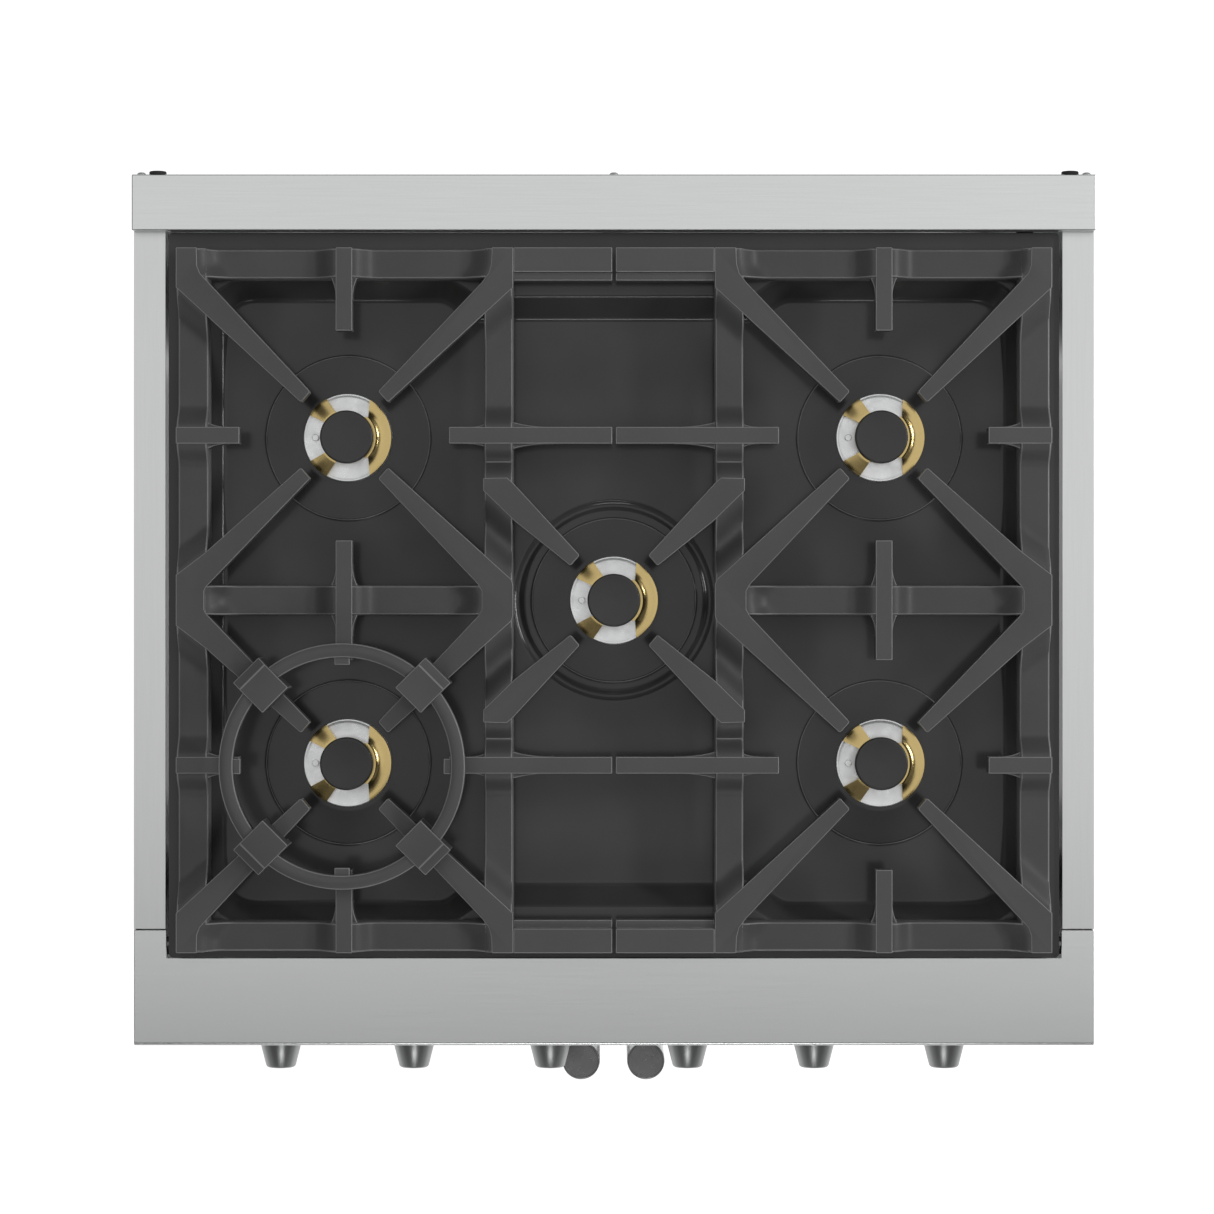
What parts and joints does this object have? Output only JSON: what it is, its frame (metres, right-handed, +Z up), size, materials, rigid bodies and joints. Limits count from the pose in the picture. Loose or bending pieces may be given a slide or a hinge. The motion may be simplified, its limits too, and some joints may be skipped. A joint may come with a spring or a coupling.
{
  "type": "freestanding gas range",
  "caption": "Freestanding gas range with side-hinged French oven doors, sealed burners under cast-iron grates, push-and-turn knobs and sliding oven racks.",
  "frame": {"origin": "centre of the whole footprint on the floor, under the feet", "axes": "+Z up, -Y out of the front where the doors and knobs are, +X to the right seen from the front"},
  "size_m": [0.76, 0.745, 0.963],
  "materials": {
    "stainless": "brushed across the width",
    "satin_steel": "satin, turned",
    "galvanised": "zinc coated sheet",
    "black_enamel": "satin porcelain enamel",
    "oven_enamel": "gloss porcelain enamel",
    "cast_iron": "matte cast with fine grain",
    "brass": "polished",
    "aluminium": "fine cast",
    "ceramic": "glazed white",
    "gasket": "woven glass fibre rope",
    "chrome_wire": "bright plated",
    "burner_steel": "heat dulled",
    "lamp_glass": "clear, ribbed",
    "black_rubber": "matte",
    "black_plastic": "matte moulded",
    "dark_glass": "tinted, polished"
  },
  "bodies": {
    "root": {"side_panel_left": "stainless", "side_panel_right": "stainless", "back_panel": "galvanised", "base_frame": "galvanised", "rear_trim": "stainless", "front_ledge": "stainless", "control_panel": "stainless", "spill_tray": "black_enamel", "burner_bodies": "aluminium", "burner_heads": "brass", "igniter_electrodes": "ceramic", "knob_bezels": "stainless", "gas_manifold": "galvanised", "gas_valves": "brass", "gas_tubes": "aluminium", "oven_liner": "oven_enamel", "oven_front_frame": "oven_enamel", "oven_gasket": "gasket", "rack_guides": "chrome_wire", "oven_floor_plate": "oven_enamel", "bake_burner": "burner_steel", "broil_burner": "burner_steel", "oven_lamp": "lamp_glass", "kick_panel": "stainless", "door_hinges": "galvanised", "rear_screws": "chrome_wire", "wall_bumpers": "black_rubber", "gas_inlet": "galvanised", "power_inlet": "black_plastic", "feet": "satin_steel"},
    "door_left": {"door_left_panel": "stainless", "door_left_inner": "oven_enamel", "door_left_glass": "dark_glass", "door_left_handle": "satin_steel"},
    "door_right": {"door_right_panel": "stainless", "door_right_inner": "oven_enamel", "door_right_glass": "dark_glass", "door_right_handle": "satin_steel"},
    "grate_left": {"grate_left": "cast_iron"},
    "grate_right": {"grate_right": "cast_iron"},
    "wok_ring": {"wok_ring": "cast_iron"},
    "rack_upper": {"rack_upper": "chrome_wire"},
    "rack_lower": {"rack_lower": "chrome_wire"},
    "cap_rear_left": {"cap_rear_left": "black_enamel"},
    "cap_rear_right": {"cap_rear_right": "black_enamel"},
    "cap_front_left": {"cap_front_left": "black_enamel"},
    "cap_front_right": {"cap_front_right": "black_enamel"},
    "cap_centre": {"cap_centre": "black_enamel"},
    "knob_stem_1": {"knob_stem_1": "aluminium"},
    "knob_1": {"knob_1": "satin_steel"},
    "knob_stem_2": {"knob_stem_2": "aluminium"},
    "knob_2": {"knob_2": "satin_steel"},
    "knob_stem_3": {"knob_stem_3": "aluminium"},
    "knob_3": {"knob_3": "satin_steel"},
    "knob_stem_4": {"knob_stem_4": "aluminium"},
    "knob_4": {"knob_4": "satin_steel"},
    "knob_stem_5": {"knob_stem_5": "aluminium"},
    "knob_5": {"knob_5": "satin_steel"},
    "knob_stem_6": {"knob_stem_6": "aluminium"},
    "knob_6": {"knob_6": "satin_steel"}
  },
  "joints": [
    {"name": "door_left_hinge", "type": "hinge", "parent": "root", "child": "door_left", "pos_m": [-0.366, -0.285, 0.43], "axis": [0, 0, -1], "range_deg": [0, 110]},
    {"name": "door_right_hinge", "type": "hinge", "parent": "root", "child": "door_right", "pos_m": [0.366, -0.285, 0.43], "axis": [0, 0, 1], "range_deg": [0, 110]},
    {"name": "grate_left_lift", "type": "slide", "parent": "root", "child": "grate_left", "axis": [0, 0, 1], "range_m": [0, 0.2]},
    {"name": "grate_right_lift", "type": "slide", "parent": "root", "child": "grate_right", "axis": [0, 0, 1], "range_m": [0, 0.2]},
    {"name": "wok_ring_lift", "type": "slide", "parent": "grate_left", "child": "wok_ring", "axis": [0, 0, 1], "range_m": [0, 0.1]},
    {"name": "cap_rear_left_lift", "type": "slide", "parent": "root", "child": "cap_rear_left", "axis": [0, 0, 1], "range_m": [0, 0.08]},
    {"name": "cap_rear_right_lift", "type": "slide", "parent": "root", "child": "cap_rear_right", "axis": [0, 0, 1], "range_m": [0, 0.08]},
    {"name": "cap_front_left_lift", "type": "slide", "parent": "root", "child": "cap_front_left", "axis": [0, 0, 1], "range_m": [0, 0.08]},
    {"name": "cap_front_right_lift", "type": "slide", "parent": "root", "child": "cap_front_right", "axis": [0, 0, 1], "range_m": [0, 0.08]},
    {"name": "cap_centre_lift", "type": "slide", "parent": "root", "child": "cap_centre", "axis": [0, 0, 1], "range_m": [0, 0.08]},
    {"name": "knob_1_push", "type": "slide", "parent": "root", "child": "knob_stem_1", "axis": [0, 1, 0], "range_m": [0, 0.003], "stiffness_N_per_m": 900, "springref_m": -0.003},
    {"name": "knob_1_turn", "type": "hinge", "parent": "knob_stem_1", "child": "knob_1", "pos_m": [-0.275, -0.33, 0.789], "axis": [0, -1, 0], "range_deg": [0, 210]},
    {"name": "knob_2_push", "type": "slide", "parent": "root", "child": "knob_stem_2", "axis": [0, 1, 0], "range_m": [0, 0.003], "stiffness_N_per_m": 900, "springref_m": -0.003},
    {"name": "knob_2_turn", "type": "hinge", "parent": "knob_stem_2", "child": "knob_2", "pos_m": [-0.165, -0.33, 0.789], "axis": [0, -1, 0], "range_deg": [0, 210]},
    {"name": "knob_3_push", "type": "slide", "parent": "root", "child": "knob_stem_3", "axis": [0, 1, 0], "range_m": [0, 0.003], "stiffness_N_per_m": 900, "springref_m": -0.003},
    {"name": "knob_3_turn", "type": "hinge", "parent": "knob_stem_3", "child": "knob_3", "pos_m": [-0.0525, -0.33, 0.789], "axis": [0, -1, 0], "range_deg": [0, 210]},
    {"name": "knob_4_push", "type": "slide", "parent": "root", "child": "knob_stem_4", "axis": [0, 1, 0], "range_m": [0, 0.003], "stiffness_N_per_m": 900, "springref_m": -0.003},
    {"name": "knob_4_turn", "type": "hinge", "parent": "knob_stem_4", "child": "knob_4", "pos_m": [0.061, -0.33, 0.789], "axis": [0, -1, 0], "range_deg": [0, 300]},
    {"name": "knob_5_push", "type": "slide", "parent": "root", "child": "knob_stem_5", "axis": [0, 1, 0], "range_m": [0, 0.003], "stiffness_N_per_m": 900, "springref_m": -0.003},
    {"name": "knob_5_turn", "type": "hinge", "parent": "knob_stem_5", "child": "knob_5", "pos_m": [0.1655, -0.33, 0.789], "axis": [0, -1, 0], "range_deg": [0, 210]},
    {"name": "knob_6_push", "type": "slide", "parent": "root", "child": "knob_stem_6", "axis": [0, 1, 0], "range_m": [0, 0.003], "stiffness_N_per_m": 900, "springref_m": -0.003},
    {"name": "knob_6_turn", "type": "hinge", "parent": "knob_stem_6", "child": "knob_6", "pos_m": [0.273, -0.33, 0.789], "axis": [0, -1, 0], "range_deg": [0, 210]},
    {"name": "rack_upper_slide", "type": "slide", "parent": "root", "child": "rack_upper", "axis": [0, -1, 0], "range_m": [0, 0.06]},
    {"name": "rack_lower_slide", "type": "slide", "parent": "root", "child": "rack_lower", "axis": [0, -1, 0], "range_m": [0, 0.06]}
  ]
}
